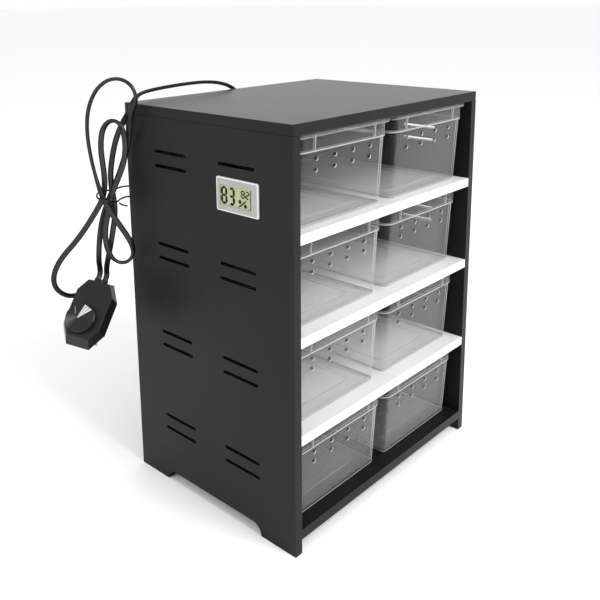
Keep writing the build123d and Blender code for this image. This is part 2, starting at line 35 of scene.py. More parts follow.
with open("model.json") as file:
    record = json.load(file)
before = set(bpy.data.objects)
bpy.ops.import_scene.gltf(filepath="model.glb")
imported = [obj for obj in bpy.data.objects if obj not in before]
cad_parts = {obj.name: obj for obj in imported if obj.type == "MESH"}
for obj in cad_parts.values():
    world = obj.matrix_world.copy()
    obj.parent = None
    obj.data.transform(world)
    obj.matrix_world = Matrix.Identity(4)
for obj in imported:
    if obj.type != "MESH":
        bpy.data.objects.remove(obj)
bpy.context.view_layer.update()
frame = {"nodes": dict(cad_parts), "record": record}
cadNodes = frame["nodes"]
print("stage: frame loaded,", len(cadNodes), "nodes")


def at(x, y, z):
    return Vector((x, y, z)) / 1000


def aim(azimuth, elevation):
    level = math.cos(elevation)
    return Vector((math.sin(azimuth) * level, -math.cos(azimuth) * level, math.sin(elevation)))


def newObject(name, data):
    made = bpy.data.objects.new(name, data)
    bpy.context.scene.collection.objects.link(made)
    return made


# ---- camera, from the photograph's corners
cameraSet = {
    "place": at(-544.7, -472.4, 451.2),
    "azimuth": -47.35,
    "elevation": 12.25,
    "roll": -0.55,
    "sensor": 36,
    "lens": 46.02,
    "shift": (0.0248, -0.2208),
    "clip": (0.05, 200),
}


def makeCamera(s):
    azimuth, elevation, roll = (math.radians(s[k]) for k in ("azimuth", "elevation", "roll"))
    back = aim(azimuth, elevation)
    right = (-back).cross(Vector((0, 0, 1))).normalized()
    up = right.cross(-back)
    right, up = right * math.cos(roll) + up * math.sin(roll), up * math.cos(roll) - right * math.sin(roll)
    data = bpy.data.cameras.new("camera")
    data.sensor_width, data.lens = s["sensor"], s["lens"]
    data.shift_x, data.shift_y = s["shift"]
    data.clip_start, data.clip_end = s["clip"]
    camera = newObject("camera", data)
    camera.matrix_world = Matrix.Translation(s["place"]) @ Matrix((right, up, back)).transposed().to_4x4()
    bpy.context.scene.camera = camera


makeCamera(cameraSet)


# ---- node trees written as plain sums
class Wire:
    def __init__(self, graph, socket):
        self.graph, self.socket = graph, socket

    def sum(self, operation, *others):
        return self.graph.node("ShaderNodeMath", {"operation": operation}, *others)

    def __add__(self, other):
        return self.sum("ADD", self, other)

    def __sub__(self, other):
        return self.sum("SUBTRACT", self, other)

    def __rsub__(self, other):
        return self.sum("SUBTRACT", other, self)

    def __mul__(self, other):
        return self.sum("MULTIPLY", self, other)

    def __truediv__(self, other):
        return self.sum("DIVIDE", self, other)

    def __pow__(self, other):
        return self.sum("POWER", self, other)

    def __mod__(self, other):
        return self.sum("FLOORED_MODULO", self, other)

    def floor(self):
        return self.sum("FLOOR", self)

    def isNear(self, other, reach):
        return self.sum("COMPARE", self, other, reach)


class Graph:
    def __init__(self, tree):
        self.tree = tree

    def node(self, kind, settings=None, *values, out=0, **named):
        made = self.tree.nodes.new(kind)
        for key, value in (settings or {}).items():
            setattr(made, key, value)
        for key, value in [*enumerate(values), *named.items()]:
            socket = made.inputs[key.replace("_", " ") if isinstance(key, str) else key]
            if isinstance(value, Wire):
                self.tree.links.new(value.socket, socket)
            elif isinstance(value, list):
                for wire in value:
                    self.tree.links.new(wire.socket, socket)
            elif value is not None:
                socket.default_value = value
        return Wire(self, made.outputs[out])


class Finish(Graph):
    def __init__(self, name, **fixed):
        self.material = bpy.data.materials.new(name)
        self.material.use_nodes = True
        super().__init__(self.material.node_tree)
        self.shader = self.tree.nodes["Principled BSDF"]
        for key, value in fixed.items():
            socket = self.shader.inputs[key.replace("_", " ")]
            socket.default_value = (*value, 1) if isinstance(value, tuple) else value

    def feed(self, socket, wire):
        self.tree.links.new(wire.socket, self.shader.inputs[socket])
        return self

    def place(self, stretch=(1, 1, 1)):
        coords = self.node("ShaderNodeTexCoord", out="Object")
        return self.node("ShaderNodeMapping", None, Vector=coords, Scale=stretch)

    def noise(self, scale, detail=2.0, stretch=(1, 1, 1)):
        return self.node("ShaderNodeTexNoise", None, Vector=self.place(stretch), Scale=scale, Detail=detail)

    def mark(self, name):
        return self.node("ShaderNodeAttribute", {"attribute_name": name}, out="Fac")

    def facing(self):
        return self.node("ShaderNodeLayerWeight", None, 0.5, out="Facing")

    def blend(self, share, first, second):
        mixed = self.node("ShaderNodeMix", {"data_type": "RGBA"}, share, out=2)
        inputs = mixed.socket.node.inputs
        for socket, value in ((inputs[6], first), (inputs[7], second)):
            if isinstance(value, Wire):
                self.tree.links.new(value.socket, socket)
            else:
                socket.default_value = (*value, 1)
        return mixed

    def spread(self, wire, low, high, newLow=0.0, newHigh=1.0):
        return self.node("ShaderNodeMapRange", None, wire, low, high, newLow, newHigh)

    def even(self, wire, newLow=0.0, newHigh=1.0):
        return self.spread(wire, 0.3, 0.7, newLow, newHigh)

    def rough(self, wire, low, high):
        return self.feed("Roughness", self.even(wire, low, high))

    def bump(self, height, strength, distance):
        bumped = self.node("ShaderNodeBump", None, Strength=strength, Distance=distance, Height=height)
        return self.feed("Normal", bumped)


# ---- finishes: noise lies mostly between 0.3 and 0.7, which even() stretches to the range asked for
def blackBoard():
    f = Finish("blackBoard", Specular_IOR_Level=0.17, Coat_Roughness=0.34, Coat_IOR=1.5)
    grain = f.noise(900, 3.0)
    cloud = f.noise(9, 4.0)
    scuff = f.spread(f.noise(40, 6.0, (1, 1, 3)), 0.62, 0.8)
    f.feed("Base Color", f.blend(f.even(cloud), (0.005, 0.005, 0.0055), (0.008, 0.008, 0.0085)))
    f.feed("Roughness", f.even(grain, 0.40, 0.48) + scuff * 0.06)
    f.feed("Coat Weight", f.spread(f.facing(), 0.5, 0.85, 0.0, 0.5))
    return f.bump(grain, 0.25, 0.00015).material


def whiteBoard():
    f = Finish("whiteBoard", Specular_IOR_Level=0.5)
    grain = f.noise(700, 2.0)
    cloud = f.spread(f.noise(12, 3.0), 0.35, 0.65)
    f.feed("Base Color", f.blend(cloud, (0.70, 0.70, 0.705), (0.74, 0.74, 0.74)))
    f.rough(grain, 0.33, 0.42)
    return f.bump(grain, 0.12, 0.0001).material


# shares of cover: haze everywhere, rim on marked faces, corner where a corner turns away, the rest at a slant; rim
# and corner are painted highlight lines on the plastic's edges
drawerLook = {
    "colour": (0.42, 0.42, 0.425),
    # the dark colour painted on the holes' faces as shade
    "bore": (0.006, 0.006, 0.006),
    "haze": 0.020,
    "rim": 0.60,
    "corner": 0.85,
    "grazing": 0.48,
    "outline": 1.1,
    "most": 0.96,
}


def clearDrawer(s):
    f = Finish("clearDrawer", Specular_IOR_Level=0.5, IOR=1.49)
    edge, facing = f.mark("edge"), f.facing()
    flow = f.noise(22, 4.0, (1, 1, 0.3))
    haze = f.even(flow, s["haze"] * 0.8, s["haze"] * 1.2)
    # the holes' faces blend towards the dark colour: painted shade
    f.feed("Base Color", f.blend(f.spread(f.mark("bore"), 0.35, 0.6), s["colour"], s["bore"]))
    # rim and corner cover paint the edges as light lines: painted highlight
    rim = edge * s["rim"] + f.mark("corner") * f.spread(facing, 0.45, 0.8, 0.0, s["corner"])
    grazing = facing ** 2.5 * s["grazing"] + facing ** 7 * s["outline"]
    f.feed("Alpha", f.node("ShaderNodeClamp", None, haze + rim + grazing, 0, s["most"]))
    f.feed("Roughness", f.even(flow, 0.10, 0.2) + edge * 0.12)
    return f.bump(flow, 0.05, 0.0004).material


def mouldedBlack(name, colour, roughness, grainScale=1500, depth=0.12, specular=0.3, sheen=0.0):
    f = Finish(name, Specular_IOR_Level=specular, Coat_Roughness=0.3, Coat_IOR=1.7)
    if sheen:
        f.feed("Coat Weight", (1.0 - f.facing()) ** 3.0 * sheen)
    grain = f.noise(grainScale)
    cloud = f.spread(f.noise(35, 4.0), 0.35, 0.65)
    f.feed("Base Color", f.blend(cloud, colour, tuple(c * 1.35 for c in colour)))
    f.rough(grain, roughness - 0.05, roughness + 0.06)
    return f.bump(grain, depth, 0.0001).material


def bezelGrey():
    f = Finish("bezelGrey")
    grain = f.noise(1400)
    flat = f.blend(f.even(f.noise(60)), (0.30, 0.30, 0.305), (0.35, 0.35, 0.355))
    # the rim strips are painted a lighter grey: a painted highlight
    f.feed("Base Color", f.blend(f.mark("rim"), flat, (0.62, 0.62, 0.63)))
    f.rough(grain, 0.26, 0.36)
    return f.bump(grain, 0.08, 0.0001).material


def windowClear():
    f = Finish("windowClear", Base_Color=(0.2, 0.2, 0.2), Specular_IOR_Level=0.2)
    f.feed("Alpha", f.facing() ** 4 * 0.3 + 0.02)
    return f.rough(f.noise(300), 0.04, 0.1).material


def lcdGreen():
    f = Finish("lcdGreen", Specular_IOR_Level=0.1)
    f.feed("Base Color", f.blend(f.even(f.noise(50, 3.0)), (0.38, 0.41, 0.22), (0.46, 0.49, 0.29)))
    return f.rough(f.noise(900), 0.3, 0.4).material


# dark ink of the figures, also used for a painted shade strip
def lcdInkAndShade():
    f = Finish("lcdInkAndShade", Specular_IOR_Level=0.05)
    f.feed("Base Color", f.blend(f.noise(400), (0.006, 0.008, 0.006), (0.012, 0.014, 0.012)))
    return f.rough(f.noise(900), 0.4, 0.5).material


def amberFilm():
    f = Finish("amberFilm", Coat_Roughness=0.1)
    bands = f.node("ShaderNodeTexWave", {"wave_type": "BANDS", "bands_direction": "X", "wave_profile": "SIN"},
                   Vector=f.place(), Scale=26.0, Distortion=0.0)
    track = f.spread(bands, 0.55, 0.62)
    f.feed("Base Color", f.blend(track, (0.040, 0.028, 0.018), (0.012, 0.012, 0.012)))
    return f.rough(f.noise(200, 3.0), 0.25, 0.4).bump(track, 0.2, 0.0002).material


def metal(name, colour, roughness):
    f = Finish(name, Metallic=1.0)
    brushed = f.noise(500, 3.0, (1, 1, 0.06))
    f.feed("Base Color", f.blend(brushed, colour, tuple(c * 0.85 for c in colour)))
    return f.rough(brushed, roughness - 0.05, roughness + 0.1).bump(brushed, 0.1, 0.0001).material


def boardGreen():
    f = Finish("boardGreen")
    weave = f.noise(700, 3.0)
    f.feed("Base Color", f.blend(f.spread(weave, 0.4, 0.6), (0.02, 0.11, 0.04), (0.03, 0.16, 0.06)))
    return f.rough(weave, 0.3, 0.45).bump(weave, 0.1, 0.0001).material


# light silver of the pointer, also used for a painted highlight streak
def pointerAndStreakSilver():
    f = Finish("pointerAndStreakSilver")
    streak = f.noise(900, 2.0, (1, 1, 0.2))
    f.feed("Base Color", f.blend(streak, (0.42, 0.42, 0.43), (0.66, 0.66, 0.67)))
    return f.rough(streak, 0.25, 0.4).material


finishes = {
    "black_board": blackBoard(),
    "white_board": whiteBoard(),
    "clear_drawer": clearDrawer(drawerLook),
    "film_brown": amberFilm(),
    "brass": metal("brass", (0.78, 0.58, 0.25), 0.28),
    "black_plastic": mouldedBlack("blackPlastic", (0.006, 0.006, 0.0065), 0.36),
    "cord_black": mouldedBlack("cordBlack", (0.005, 0.005, 0.0055), 0.36, 900, 0.1, 0.05, 0.6),
    "rubber_black": mouldedBlack("rubberBlack", (0.016, 0.016, 0.016), 0.55),
    "bezel_grey": bezelGrey(),
    "window_clear": windowClear(),
    "lcd_green": lcdGreen(),
    "strip_grey": mouldedBlack("stripGrey", (0.20, 0.20, 0.21), 0.6),
    "board_green": boardGreen(),
    "steel": metal("steel", (0.62, 0.62, 0.64), 0.25),
    "dial_black": mouldedBlack("dialBlack", (0.006, 0.006, 0.0065), 0.24),
}
inkAndShadeFinish, pointerAndStreakFinish = lcdInkAndShade(), pointerAndStreakSilver()

# the CAD nodes that stay visible take these finishes by the record's slots
for part in frame["record"]["subparts"]:
    cadNodes[part["node"]].data.materials.clear()
    cadNodes[part["node"]].data.materials.append(finishes[part["material_slot"]])
print("stage: finishes")


# ---- pieces, and helpers that turn outlines into meshes
def addPiece(name, mesh, body, slot, stands=(), soften=0.0, segments=2, material=None):
    piece = newObject(name, mesh)
    if not mesh.materials:
        mesh.materials.append(material or finishes[slot])
    if soften:
        bevel = piece.modifiers.new("soften", "BEVEL")
        bevel.width, bevel.segments, bevel.angle_limit = soften / 1000, segments, math.radians(28)
        bevel.harden_normals = True
        for polygon in mesh.polygons:
            polygon.use_smooth = True
    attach(piece, body)
    if stands:
        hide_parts(*stands)
    return piece


def skinRings(work, rings, closeEnds=True):
    loops = [[work.verts.new(point) for point in ring] for ring in rings]
    for low, high in zip(loops, loops[1:]):
        for i in range(len(low)):
            work.faces.new((low[i - 1], low[i], high[i], high[i - 1]))
    if closeEnds:
        work.faces.new(reversed(loops[0]))
        work.faces.new(loops[-1])


def closedMesh(name, work):
    bmesh.ops.recalc_face_normals(work, faces=work.faces)
    mesh = bpy.data.meshes.new(name)
    work.to_mesh(mesh)
    work.free()
    return mesh


def meshFromRings(name, rings, closeEnds=True):
    work = bmesh.new()
    skinRings(work, rings, closeEnds)
    return closedMesh(name, work)


def meshFromModifiers(source):
    return bpy.data.meshes.new_from_object(source.evaluated_get(bpy.context.evaluated_depsgraph_get()))


def markFaces(mesh, name, values):
    mesh.attributes.new(name, "FLOAT", "FACE").data.foreach_set("value", values)


def boxMesh(name, low, high):
    corners = ((low[0], low[1]), (high[0], low[1]), (high[0], high[1]), (low[0], high[1]))
    return meshFromRings(name, [[(x, y, z) for x, y in corners] for z in (low[2], high[2])])


def roundedRing(across, along, radius, level, steps):
    ring = []
    for corner, (x, y) in enumerate(((1, 1), (-1, 1), (-1, -1), (1, -1))):
        for step in range(steps + 1):
            angle = math.radians(90 * (corner + step / steps))
            ring.append(at(x * (across / 2 - radius) + radius * math.cos(angle),
                           y * (along / 2 - radius) + radius * math.sin(angle), level))
    return ring


def smoothShade(piece, angle=35):
    for polygon in piece.data.polygons:
        polygon.use_smooth = True
    piece.data.set_sharp_from_angle(angle=math.radians(angle))
    weigh = piece.modifiers.new("weigh", "WEIGHTED_NORMAL")
    weigh.keep_sharp = True
    return piece


# ---- boards with slots: one tree for the sides and the base
def slottedBoardTree():
    tree = bpy.data.node_groups.new("slottedBoard", "GeometryNodeTree")
    g = Graph(tree)
    face = tree.interface
    face.new_socket("Outline", in_out="INPUT", socket_type="NodeSocketGeometry")
    kinds = {"Int": ("Columns", "Rows", "Leave Out"), "Material": ("Material",),
             "Float": ("First Across", "First Along", "Column Pitch", "Pair Gap", "Pair Pitch", "Stagger", "Reach",
                       "Slot Length", "Slot Width", "Thickness")}
    for kind, names in kinds.items():
        for name in names:
            face.new_socket(name, in_out="INPUT", socket_type="NodeSocket" + kind)
    face.new_socket("Board", in_out="OUTPUT", socket_type="NodeSocketGeometry")
    start = tree.nodes.new("NodeGroupInput")
    ins = {socket.name: Wire(g, socket) for socket in start.outputs if socket.name}
    index = g.node("GeometryNodeInputIndex")
    column = index % ins["Columns"]
    row = (index / ins["Columns"]).floor()
    odd = row % 2
    across = ins["First Across"] + column * ins["Column Pitch"] + odd * ins["Stagger"]
    along = ins["First Along"] + (row / 2).floor() * ins["Pair Pitch"] + odd * ins["Pair Gap"]
    points = g.node("GeometryNodePoints", None, Count=ins["Columns"] * ins["Rows"],
                    Position=g.node("ShaderNodeCombineXYZ", None, across, along, 0.0))
    slot = g.node("GeometryNodeCurvePrimitiveQuadrilateral", None, ins["Slot Length"], ins["Slot Width"])
    slot = g.node("GeometryNodeFilletCurve", {"mode": "POLY"}, slot, Radius=ins["Slot Width"] * 0.499, Count=5)
    inReach = across.sum("LESS_THAN", across, ins["Reach"]) - index.isNear(ins["Leave Out"], 0.1)
    slots = g.node("GeometryNodeInstanceOnPoints", None, points, inReach.sum("GREATER_THAN", inReach, 0.5), slot)
    slots = g.node("GeometryNodeRealizeInstances", None, slots)
    curves = g.node("GeometryNodeJoinGeometry", None, [ins["Outline"], slots])
    sheet = g.node("GeometryNodeFillCurve", None, curves)
    lift = g.node("ShaderNodeCombineXYZ", None, 0.0, 0.0, ins["Thickness"])
    top = g.node("GeometryNodeExtrudeMesh", {"mode": "FACES"}, sheet, Offset=lift, Offset_Scale=1.0, Individual=False)
    under = g.node("GeometryNodeFlipFaces", None, sheet)
    board = g.node("GeometryNodeJoinGeometry", None, [top, under])
    board = g.node("GeometryNodeMergeByDistance", None, board, Distance=1e-5)
    board = g.node("GeometryNodeRealizeInstances", None, board)
    board = g.node("GeometryNodeSetMaterial", None, board, Material=ins["Material"])
    end = tree.nodes.new("NodeGroupOutput")
    tree.links.new(board.socket, end.inputs[0])
    return tree


# sizes in millimetres; outlines are the rim and any cut-outs besides the slots
def slottedBoard(name, outlines, sizes, turn, finish):
    curve = bpy.data.curves.new(name, "CURVE")
    curve.dimensions = "2D"
    curve.fill_mode = "NONE"
    for points in outlines:
        spline = curve.splines.new("POLY")
        spline.points.add(len(points) - 1)
        for point, (x, y) in zip(spline.points, points):
            point.co = (x / 1000, y / 1000, 0, 1)
        spline.use_cyclic_u = True
    holder = newObject(name + "Outline", curve)
    modifier = holder.modifiers.new("slots", "NODES")
    modifier.node_group = boardTree
    for item in boardTree.interface.items_tree:
        if item.in_out == "INPUT" and item.name in sizes:
            inMetres = item.socket_type == "NodeSocketFloat"
            modifier[item.identifier] = sizes[item.name] / 1000 if inMetres else sizes[item.name]
        elif item.in_out == "INPUT" and item.name == "Material":
            modifier[item.identifier] = finish
    mesh = meshFromModifiers(holder)
    mesh.name = name
    bpy.data.objects.remove(holder)
    work = bmesh.new()  # the fill leaves flat triangles, which join here
    work.from_mesh(mesh)
    bmesh.ops.dissolve_limit(work, angle_limit=0.01, verts=work.verts, edges=work.edges)
    work.to_mesh(mesh)
    work.free()
    mesh.transform(turn)
    return mesh


sideBoard = {
    "cabinetWidth": 269,
    "depth": 205,
    "tall": 354,
    "thick": 8,
    "foot": 40,
    "arch": 10,
    "archSteps": 8,
    "slot": (42, 3),
    "slotY": 41,
    "rowPitch": 85,
    "levelGap": 13,
    "firstLevel": 55.5,
    "meterCut": (45.8, 26.4),
    "meterAt": (-43.1, 298.9),
    "meterSlot": 12,  # the slot that the meter takes the place of
    "soften": 0.45,
}


def sideOutline(s):
    half = s["depth"] / 2
    arch = [(-(half - s["foot"]), 0)]
    for step in range(1, s["archSteps"] + 1):
        angle = math.radians(90 * step / s["archSteps"])
        arch.append((-(half - s["foot"]) + s["arch"] * (1 - math.cos(angle)), s["arch"] * math.sin(angle)))
    arch += [(-x, z) for x, z in reversed(arch)]
    return [(-half, s["tall"]), (-half, 0), *arch, (half, 0), (half, s["tall"])]


boardTree = slottedBoardTree()
uprightTurn = Matrix(((0, 0, 1, 0), (1, 0, 0, 0), (0, 1, 0, 0), (0, 0, 0, 1)))
noSlot = -1


def oblong(middle, size):
    signs = ((-1, -1), (1, -1), (1, 1), (-1, 1))
    return [(middle[0] + x * size[0] / 2, middle[1] + y * size[1] / 2) for x, y in signs]


def makeSides(s):
    sizes = {"Columns": 2, "Rows": 8, "First Across": -s["slotY"], "First Along": s["firstLevel"], "Reach": 1000,
             "Column Pitch": 2 * s["slotY"], "Pair Gap": s["levelGap"], "Pair Pitch": s["rowPitch"], "Stagger": 0.0,
             "Slot Length": s["slot"][0], "Slot Width": s["slot"][1], "Thickness": s["thick"]}
    meterCut, half = oblong(s["meterAt"], s["meterCut"]), s["cabinetWidth"] / 2
    sides = (("left", -half, [meterCut], s["meterSlot"]), ("right", half - s["thick"], [], noSlot))
    for side, x, holes, gone in sides:
        mesh = slottedBoard("side" + side.title(), [sideOutline(s), *holes], {**sizes, "Leave Out": gone},
                            Matrix.Translation(at(x, 0, 0)) @ uprightTurn, finishes["black_board"])
        addPiece("side_board_" + side, mesh, "cabinet", "black_board", ["side_panel_" + side], s["soften"])


baseBoard = {
    "size": (253, 197),
    "middle": -4,
    "level": 13,
    "thick": 9,
    "slot": (20, 3),
    "grid": (7, 9),
    "pitch": (36.5, 20),
    "reach": 110.5,  # no slot's middle stands further to the right
    "soften": 0.3,
}


def makeBase(s):
    (columns, rows), (across, along) = s["grid"], s["pitch"]
    sizes = {"Columns": columns, "Rows": rows, "Leave Out": noSlot, "First Across": -(columns // 2) * across,
             "First Along": -(rows // 2) * along, "Column Pitch": across, "Pair Gap": along, "Pair Pitch": 2 * along,
             "Stagger": across / 2, "Reach": s["reach"], "Slot Length": s["slot"][0], "Slot Width": s["slot"][1],
             "Thickness": s["thick"]}
    mesh = slottedBoard("baseBoard", [oblong((0, 0), s["size"])], sizes,
                        Matrix.Translation(at(0, s["middle"], s["level"])), finishes["black_board"])
    addPiece("base_board", mesh, "cabinet", "black_board", ["base_panel"], s["soften"])


makeSides(sideBoard)
makeBase(baseBoard)

plainBoards = {"top_panel": ("top_board", "black_board", 0.6), "shelf_1": ("shelf_board_1", "white_board", 0.5),
               "shelf_2": ("shelf_board_2", "white_board", 0.5), "shelf_3": ("shelf_board_3", "white_board", 0.5)}
for node, (name, slot, soften) in plainBoards.items():
    addPiece(name, boxMesh(name, *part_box(node)), "cabinet", slot, [node], soften, 3)
print("stage: boards")

# ---- clear drawers
drawer = {
    "lip": (123, 183),
    "steps": 6,
    "fronts": (4.4, 8.7, 8.8, 6.9),  # top row first, back from the cabinet's front
    "floors": (277, 192, 107, 22),
    "columnX": 63,
    "lift": 0.3,
    "walls": (4, 24),  # the profile's strips that are the outer and the inner wall
}
# inset from the lip, level, corner radius, how strongly the strip up to the next line shows as an edge, which paints
# a highlight line there
drawerProfile = (
    (23.3, 1.0, 4.5, 0.45), (23.3, 0.0, 4.5, 0.0), (7.9, 0.0, 3.4, 0.5), (6.8, 0.7, 4.2, 1.6),
    (6.75, 1.5, 4.25, 0.0), (3.25, 59.4, 7.8, 0.5), (3.2, 60.0, 7.8, 0.9), (2.0, 60.0, 9.0, 1.0),
    (2.0, 61.2, 9.0, 0.0), (2.0, 73.4, 9.0, 0.5), (2.0, 74.0, 9.0, 0.3), (1.2, 74.0, 5.8, 0.1),
    (1.2, 72.3, 5.8, 0.3), (0.9, 72.0, 6.2, 0.4), (0.3, 72.0, 6.8, 0.5), (0.0, 72.4, 7.0, 0.6),
    (0.0, 72.9, 7.0, 0.14), (0.0, 74.9, 7.0, 0.6), (0.5, 75.5, 6.6, 0.2), (3.0, 75.5, 7.9, 0.4),
    (3.5, 75.0, 7.5, 0.0), (3.5, 62.0, 7.5, 0.5), (3.6, 61.5, 7.4, 0.7), (4.6, 61.5, 6.4, 0.7),
    (4.75, 61.0, 6.2, 0.0), (8.25, 2.3, 2.8, 0.6), (9.1, 1.5, 2.2, 0.0), (21.8, 1.5, 6.0, 0.45),
    (21.8, 2.5, 6.0, 0.0),
)
holeRow = {
    "radius": 1.5,
    "sides": 20,
    "sink": 0.48,
    "across": 4,
    "pitch": 23.3,
    "levels": (44.7, 54.0),
    "wallInset": 3.86,
    "lean": 3.46,
    "cutterLength": 12,
    "edge": 2.3,
    "reach": 0.4,  # a hole's faces are looked for this far past its radius
}


def drawerMesh(s):
    rings = [roundedRing(s["lip"][0] - 2 * inset, s["lip"][1] - 2 * inset, radius, level, s["steps"])
             for inset, level, radius, _ in drawerProfile]
    mesh = meshFromRings("drawer", rings)
    around = len(rings[0])
    marks = [flag for *_, flag in drawerProfile[:-1] for _ in range(around)] + [0.0, 0.0]
    markFaces(mesh, "edge", marks)
    corners = [i // around in s["walls"] and i % around % (s["steps"] + 1) > 0 for i in range(len(marks))]
    markFaces(mesh, "corner", [float(corner) for corner in corners])
    return mesh


def holeCutterTree(s):
    tree = bpy.data.node_groups.new("holeRow", "GeometryNodeTree")
    g = Graph(tree)
    tree.interface.new_socket("Geometry", in_out="INPUT", socket_type="NodeSocketGeometry")
    for name in ("Pitch", "Level Gap", "Radius", "Length", "Sink"):
        tree.interface.new_socket(name, in_out="INPUT", socket_type="NodeSocketFloat")
    tree.interface.new_socket("Geometry", in_out="OUTPUT", socket_type="NodeSocketGeometry")
    start = tree.nodes.new("NodeGroupInput")
    ins = {socket.name: Wire(g, socket) for socket in start.outputs if socket.name}
    grid = g.node("GeometryNodeMeshGrid", None, ins["Pitch"] * (s["across"] - 1), ins["Level Gap"], s["across"], 2)
    pin = g.node("GeometryNodeMeshCylinder", None, Vertices=s["sides"], Radius=ins["Radius"], Depth=ins["Length"])
    sink = g.node("GeometryNodeMeshCone", None, Vertices=s["sides"], Radius_Top=ins["Radius"] + ins["Sink"] * 2,
                  Radius_Bottom=ins["Radius"] * 0.9, Depth=ins["Sink"] * 2 + ins["Radius"] * 0.1)
    drop = g.node("ShaderNodeCombineXYZ", None, 0.0, 0.0, ins["Sink"] * -1.0 - ins["Radius"] * 0.1)
    sink = g.node("GeometryNodeTransform", None, sink, Translation=drop)
    pin = g.node("GeometryNodeMeshBoolean", {"operation": "UNION"}, Mesh_2=[pin, sink])
    pins = g.node("GeometryNodeInstanceOnPoints", None, grid, Instance=pin)
    pins = g.node("GeometryNodeRealizeInstances", None, pins)
    pins = g.node("GeometryNodeSetMaterial", None, pins, Material=finishes["clear_drawer"])
    tree.links.new(pins.socket, tree.nodes.new("NodeGroupOutput").inputs[0])
    return tree


def holeCutters(s):
    cutter = newObject("holePins", bpy.data.meshes.new("holePins"))
    modifier = cutter.modifiers.new("pins", "NODES")
    modifier.node_group = holeCutterTree(s)
    sizes = {"Pitch": s["pitch"], "Level Gap": s["levels"][1] - s["levels"][0], "Radius": s["radius"],
             "Length": s["cutterLength"], "Sink": s["sink"]}
    for item in modifier.node_group.interface.items_tree:
        if item.in_out == "INPUT" and item.name in sizes:
            modifier[item.identifier] = sizes[item.name] / 1000
    mesh = meshFromModifiers(cutter)
    cutter.modifiers.clear()
    cutter.data = mesh
    stand = Matrix.Translation(at(0, -drawer["lip"][1] / 2 + s["wallInset"], sum(s["levels"]) / 2))
    stand = stand @ Matrix.Rotation(math.radians(90 + s["lean"]), 4, "X")
    mesh.transform(stand)
    return cutter


# painted shade: the faces of a bore are painted dark, and the sunk rim goes from bright at the lower right to a
# painted dark at the upper left, as shade would fall on it
def markHoles(mesh, s):
    edge, bore = mesh.attributes["edge"].data, [0.0] * len(mesh.polygons)
    columns = [(i - (s["across"] - 1) / 2) * s["pitch"] for i in range(s["across"])]
    for face in mesh.polygons:
        x, _, z = face.center * 1000
        column = min(columns, key=lambda c: abs(x - c))
        level = min(s["levels"], key=lambda h: abs(z - h))
        frontal = abs(face.normal.y)
        if math.hypot(x - column, z - level) < s["radius"] + s["reach"] and frontal < 0.9:
            edge[face.index].value = s["edge"]
            away = (face.normal.x - face.normal.z) / math.sqrt(2)
            bore[face.index] = 1.0 if frontal < 0.4 else 0.45 + 0.5 * away
    markFaces(mesh, "bore", bore)


def finishedDrawer(s):
    work, cutter = newObject("drawerWork", drawerMesh(s)), holeCutters(holeRow)
    cut = work.modifiers.new("holes", "BOOLEAN")
    cut.operation, cut.solver, cut.object = "DIFFERENCE", "EXACT", cutter
    mesh = meshFromModifiers(work)
    bpy.data.objects.remove(work)
    bpy.data.objects.remove(cutter)
    markHoles(mesh, holeRow)
    return mesh


gusset = {
    "x": 39,
    "half": 0.6,
    "inset": 3.4,
    "depths": ((60.2, 1.4), (73.9, 2.5)),  # level, how deep it is there
    # the gussets' cover, which shows them as light lines: painted highlight
    "edge": 0.75,
}


def gussetMesh(s):
    work = bmesh.new()
    near = drawer["lip"][1] / 2 - s["inset"]
    for side in (-1, 1):
        for x in (-s["x"], s["x"]):
            low, high = x - s["half"], x + s["half"]
            skinRings(work, [[at(low, side * near, level), at(high, side * near, level),
                              at(high, side * (near + deep), level), at(low, side * (near + deep), level)]
                             for level, deep in s["depths"]])
    mesh = closedMesh("gussets", work)
    markFaces(mesh, "edge", [s["edge"]] * len(mesh.polygons))
    return mesh


shell, gussets = finishedDrawer(drawer), gussetMesh(gusset)
flushY = -sideBoard["depth"] / 2 + drawer["lip"][1] / 2
for row, (front, floorLevel) in enumerate(zip(drawer["fronts"], drawer["floors"]), 1):
    for column, x in (("left", -drawer["columnX"]), ("right", drawer["columnX"])):
        move = Matrix.Translation(at(x, flushY + front, floorLevel + drawer["lift"]))
        body = f"drawer_{row}_{column}"
        for name, source, stands in (("clear_box", shell, [body]), ("clear_gussets", gussets, [])):
            mesh = source.copy()
            mesh.transform(move)
            mesh.materials.clear()
            smoothShade(addPiece(f"{name}_{row}_{column}", mesh, body, "clear_drawer", stands))
print("stage: drawers")

# ---- the dimmer's own frame, and points beside the cabinet's rear left corner
rearCorner = {"x": -134.5, "y": 102.5, "out": (-0.814, 0.581)}
dimmer = {
    "place": (41, 18, 169.6),
    "azimuth": 48,
    "elevation": 39,
    "roll": 16,
    "width": 41,
    "length": 63.4,
    "corner": (9.3, 16),
    "shrink": 0.3,
    "front": 11,
    "back": 9,
    "tapers": (3.3, 3.5, 7.0, 4.0),  # side, top and bottom of the front half, all round at the back half
    "seam": (0.15, 0.45, 0.4),  # the groove between the halves: its two levels and its depth
    "mouths": (-7.2, -0.4),  # where the hank and the feed come in
    "mouthLevel": -3.6,
    "mouthReach": 3,
    "soften": 0.7,
}


# out runs to the left and back from the corner, front to the left and forward, up is the level
def beside(out, front, up):
    x, y = rearCorner["out"]
    return at(rearCorner["x"] + x * out - y * front, rearCorner["y"] + y * out + x * front, up)


def dimmerFrame(s):
    azimuth, elevation, roll = (math.radians(s[k]) for k in ("azimuth", "elevation", "roll"))
    normal = aim(-azimuth, elevation)
    up = (Vector((0, 0, 1)) - normal * normal.z).normalized()
    up = up * math.cos(roll) + up.cross(normal) * math.sin(roll)
    right = up.cross(normal)
    place = Matrix.Translation(beside(*s["place"])) @ Matrix((right, up, normal)).transposed().to_4x4()
    return place, right, up


